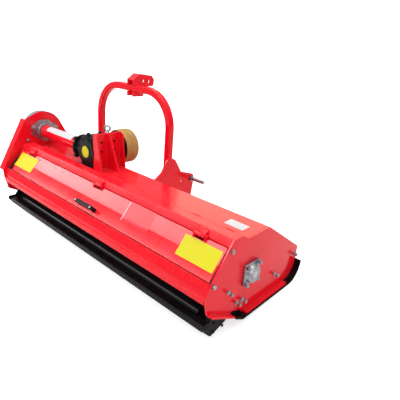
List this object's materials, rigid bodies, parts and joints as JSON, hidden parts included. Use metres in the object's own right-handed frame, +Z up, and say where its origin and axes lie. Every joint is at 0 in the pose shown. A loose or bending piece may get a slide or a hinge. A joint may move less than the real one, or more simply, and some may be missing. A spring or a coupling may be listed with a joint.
{
  "type": "flail mower",
  "caption": "Rear-mounted flail mower for a tractor: folded steel deck with hinged rear door, ground roller, skids, three-point hitch bow and belt side drive.",
  "frame": {"origin": "on the floor under the middle of the machine's outline, standing on its skid noses and its lowered roller", "axes": "+X along the machine's width away from the belt side, +Y forwards to the tractor, +Z up"},
  "size_m": [1.889, 0.787, 0.9155],
  "materials": {
    "red_paint": "gloss powder coat",
    "black_paint": "satin black paint",
    "grey_paint": "satin grey paint",
    "cast_black": "painted casting",
    "zinc": "zinc plated",
    "steel": "machined steel",
    "forged": "forged, oiled",
    "gold_plastic": "moulded, satin",
    "black_plastic": "moulded, satin",
    "belt_rubber": "matte"
  },
  "bodies": {
    "deck": {"right_end_plate": "red_paint", "left_end_plate": "red_paint", "crossbeam": "red_paint", "hood_panel": "red_paint", "lower_rear_bar": "red_paint", "right_skid": "black_paint", "left_skid": "black_paint", "beam_hinges": "red_paint", "hinge_pins": "zinc", "right_roller_arm": "black_paint", "left_roller_arm": "black_paint", "roller_bearings": "black_paint", "scraper_bar": "black_paint", "right_rotor_bearing": "zinc", "left_rotor_bearing": "zinc", "gearbox_housing": "cast_black", "gearbox_rear_cap": "cast_black", "gearbox_screws": "zinc", "lifting_eye": "zinc", "guard_cone": "black_plastic", "guard_sleeve": "gold_plastic", "shaft_guard_tube": "red_paint", "upper_bearing": "zinc", "drive_belts": "belt_rubber", "belt_cover": "grey_paint", "cover_knob": "black_plastic", "gearbox_bracket": "red_paint", "hitch_frame": "red_paint", "right_hitch_plate": "red_paint", "left_hitch_plate": "red_paint", "link_pins": "steel", "top_link_bracket": "red_paint", "flap_rod": "zinc", "deck_bolts": "zinc"},
    "rotor": {"rotor": "black_paint", "hammer_pins": "steel", "lower_pulley": "steel"},
    "cross_shaft": {"cross_shaft": "steel", "upper_pulley": "steel"},
    "input_shaft": {"input_shaft": "steel"},
    "roller": {"ground_roller": "black_paint"},
    "rear_door": {"rear_door": "red_paint", "door_handle": "black_plastic", "door_hinges": "red_paint"},
    "hammer_01": {"hammer_01": "forged"},
    "hammer_02": {"hammer_02": "forged"},
    "hammer_03": {"hammer_03": "forged"},
    "hammer_04": {"hammer_04": "forged"},
    "hammer_05": {"hammer_05": "forged"},
    "hammer_06": {"hammer_06": "forged"},
    "hammer_07": {"hammer_07": "forged"},
    "hammer_08": {"hammer_08": "forged"},
    "hammer_09": {"hammer_09": "forged"},
    "hammer_10": {"hammer_10": "forged"},
    "front_flap_1": {"front_flap_1": "black_paint"},
    "front_flap_2": {"front_flap_2": "black_paint"},
    "front_flap_3": {"front_flap_3": "black_paint"},
    "front_flap_4": {"front_flap_4": "black_paint"},
    "front_flap_5": {"front_flap_5": "black_paint"},
    "front_flap_6": {"front_flap_6": "black_paint"}
  },
  "joints": [
    {"name": "rotor_spin", "type": "hinge", "parent": "deck", "child": "rotor", "pos_m": [0.02315, -0.0994, 0.23201], "axis": [1, 0, 0], "continuous": true},
    {"name": "cross_shaft_spin", "type": "hinge", "parent": "deck", "child": "cross_shaft", "pos_m": [-0.57685, -0.08116, 0.5024], "axis": [1, 0, 0], "continuous": true},
    {"name": "input_shaft_spin", "type": "hinge", "parent": "deck", "child": "input_shaft", "pos_m": [-0.25585, 0.0844, 0.49032], "axis": [0, 0.9973, -0.0728], "continuous": true},
    {"name": "roller_spin", "type": "hinge", "parent": "deck", "child": "roller", "pos_m": [0.02315, -0.29086, 0.061], "axis": [1, 0, 0], "continuous": true},
    {"name": "door_hinge", "type": "hinge", "parent": "deck", "child": "rear_door", "pos_m": [0.02315, -0.25603, 0.42202], "axis": [-1, 0, 0], "range_deg": [0, 100]},
    {"name": "hammer_01_swing", "type": "hinge", "parent": "rotor", "child": "hammer_01", "pos_m": [-0.70585, -0.10559, 0.14724], "axis": [1, 0, 0], "range_deg": [-130.18, 121.82]},
    {"name": "hammer_02_swing", "type": "hinge", "parent": "rotor", "child": "hammer_02", "pos_m": [-0.54385, -0.02289, 0.26904], "axis": [1, 0, 0], "range_deg": [-10.18, 241.82]},
    {"name": "hammer_03_swing", "type": "hinge", "parent": "rotor", "child": "hammer_03", "pos_m": [-0.38185, -0.16972, 0.27976], "axis": [1, 0, 0], "range_deg": [-250.18, 1.82]},
    {"name": "hammer_04_swing", "type": "hinge", "parent": "rotor", "child": "hammer_04", "pos_m": [-0.21985, -0.10559, 0.14724], "axis": [1, 0, 0], "range_deg": [-130.18, 121.82]},
    {"name": "hammer_05_swing", "type": "hinge", "parent": "rotor", "child": "hammer_05", "pos_m": [-0.05785, -0.02289, 0.26904], "axis": [1, 0, 0], "range_deg": [-10.18, 241.82]},
    {"name": "hammer_06_swing", "type": "hinge", "parent": "rotor", "child": "hammer_06", "pos_m": [0.10415, -0.16972, 0.27976], "axis": [1, 0, 0], "range_deg": [-250.18, 1.82]},
    {"name": "hammer_07_swing", "type": "hinge", "parent": "rotor", "child": "hammer_07", "pos_m": [0.26615, -0.10559, 0.14724], "axis": [1, 0, 0], "range_deg": [-130.18, 121.82]},
    {"name": "hammer_08_swing", "type": "hinge", "parent": "rotor", "child": "hammer_08", "pos_m": [0.42815, -0.02289, 0.26904], "axis": [1, 0, 0], "range_deg": [-10.18, 241.82]},
    {"name": "hammer_09_swing", "type": "hinge", "parent": "rotor", "child": "hammer_09", "pos_m": [0.59015, -0.16972, 0.27976], "axis": [1, 0, 0], "range_deg": [-250.18, 1.82]},
    {"name": "hammer_10_swing", "type": "hinge", "parent": "rotor", "child": "hammer_10", "pos_m": [0.75215, -0.10559, 0.14724], "axis": [1, 0, 0], "range_deg": [-130.18, 121.82]},
    {"name": "front_flap_1_swing", "type": "hinge", "parent": "deck", "child": "front_flap_1", "pos_m": [0.02315, 0.29689, 0.14593], "axis": [1, 0, 0], "range_deg": [-75, 20]},
    {"name": "front_flap_2_swing", "type": "hinge", "parent": "deck", "child": "front_flap_2", "pos_m": [0.02315, 0.29689, 0.14593], "axis": [1, 0, 0], "range_deg": [-75, 20]},
    {"name": "front_flap_3_swing", "type": "hinge", "parent": "deck", "child": "front_flap_3", "pos_m": [0.02315, 0.29689, 0.14593], "axis": [1, 0, 0], "range_deg": [-75, 20]},
    {"name": "front_flap_4_swing", "type": "hinge", "parent": "deck", "child": "front_flap_4", "pos_m": [0.02315, 0.29689, 0.14593], "axis": [1, 0, 0], "range_deg": [-75, 20]},
    {"name": "front_flap_5_swing", "type": "hinge", "parent": "deck", "child": "front_flap_5", "pos_m": [0.02315, 0.29689, 0.14593], "axis": [1, 0, 0], "range_deg": [-75, 20]},
    {"name": "front_flap_6_swing", "type": "hinge", "parent": "deck", "child": "front_flap_6", "pos_m": [0.02315, 0.29689, 0.14593], "axis": [1, 0, 0], "range_deg": [-75, 20]}
  ],
  "couplings": [
    {"joint": "cross_shaft_spin", "follows": "rotor_spin", "ratio": 0.81481},
    {"joint": "input_shaft_spin", "follows": "rotor_spin", "ratio": 0.2716}
  ]
}
